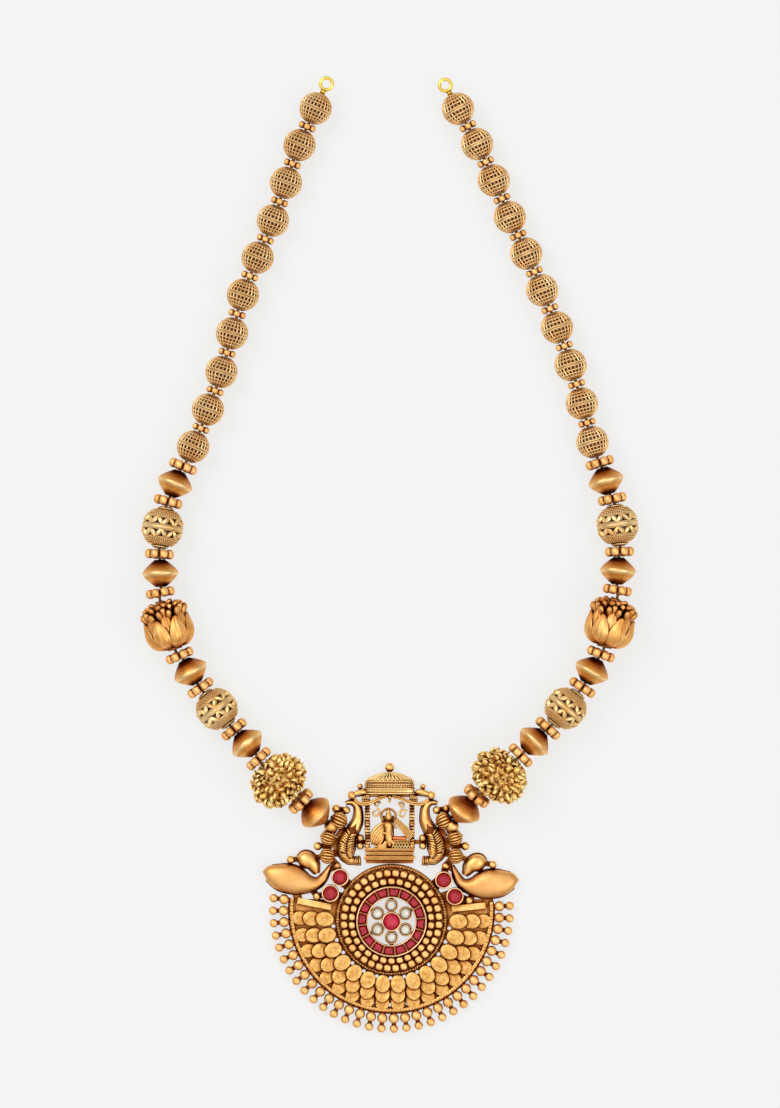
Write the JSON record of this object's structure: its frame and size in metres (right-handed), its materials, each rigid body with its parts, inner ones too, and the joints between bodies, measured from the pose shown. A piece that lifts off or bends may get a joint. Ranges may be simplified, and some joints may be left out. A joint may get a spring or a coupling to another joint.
{
  "type": "temple jewellery necklace",
  "caption": "Long beaded gold necklace laid flat, with graded openwork beads on each side and a large round relief pendant set with red and white stones.",
  "frame": {"origin": "centre of the pendant's rosette, on the flat back face that the pendant rests on", "axes": "+Z out of the pendant's front, away from the surface that it lies on; +Y from the pendant towards the two free ends; +X to the wearer's left, the picture's right"},
  "size_m": [0.1341, 0.2579, 0.016],
  "materials": {
    "pendant_gold": "matte antique gold with dark red-brown in the recesses",
    "horn_gold": "satin gold, smooth",
    "coin_gold": "matte gold, finely struck",
    "copper_gold": "brushed copper-toned gold",
    "yellow_gold": "matte yellow gold",
    "lotus_gold": "matte antique gold",
    "openwork_gold": "matte antique gold, dark in the openings",
    "filigree_gold": "fine pierced gold, dark in the openings",
    "granule_gold": "satin gold",
    "eyelet_gold": "bright yellow gold",
    "ruby": "polished, strong red",
    "white_stone": "polished, clear to milky",
    "thread": "twisted golden thread"
  },
  "bodies": {
    "root": {"back_frame": "pendant_gold", "coin_scales": "coin_gold", "rosette": "pendant_gold", "ruby_ring": "ruby", "centre_ruby": "ruby", "petal_stones": "white_stone", "corner_rubies": "ruby", "horn_left": "horn_gold", "horn_right": "horn_gold", "scroll_left": "pendant_gold", "scroll_right": "pendant_gold", "peacock_left": "pendant_gold", "peacock_right": "pendant_gold", "shrine": "pendant_gold", "shrine_roof": "pendant_gold", "shrine_figure": "pendant_gold", "thread_left": "thread", "thread_right": "thread", "eyelet_left": "eyelet_gold", "eyelet_right": "eyelet_gold", "spacer_rings_left": "granule_gold", "spacer_rings_right": "granule_gold", "bicone_left_1": "copper_gold", "bicone_left_2": "copper_gold", "bicone_left_3": "copper_gold", "bicone_left_4": "copper_gold", "bicone_left_5": "copper_gold", "bicone_right_1": "copper_gold", "bicone_right_2": "copper_gold", "bicone_right_3": "copper_gold", "bicone_right_4": "copper_gold", "bicone_right_5": "copper_gold", "burr_left": "yellow_gold", "burr_right": "yellow_gold", "lotus_left": "lotus_gold", "lotus_right": "lotus_gold", "openwork_left_1": "openwork_gold", "openwork_left_2": "openwork_gold", "openwork_right_1": "openwork_gold", "openwork_right_2": "openwork_gold", "filigree_left_1": "filigree_gold", "filigree_left_2": "filigree_gold", "filigree_left_3": "filigree_gold", "filigree_left_4": "filigree_gold", "filigree_left_5": "filigree_gold", "filigree_left_6": "filigree_gold", "filigree_left_7": "filigree_gold", "filigree_left_8": "filigree_gold", "filigree_left_9": "filigree_gold", "filigree_left_10": "filigree_gold", "filigree_right_1": "filigree_gold", "filigree_right_2": "filigree_gold", "filigree_right_3": "filigree_gold", "filigree_right_4": "filigree_gold", "filigree_right_5": "filigree_gold", "filigree_right_6": "filigree_gold", "filigree_right_7": "filigree_gold", "filigree_right_8": "filigree_gold", "filigree_right_9": "filigree_gold", "filigree_right_10": "filigree_gold"}
  },
  "joints": []
}
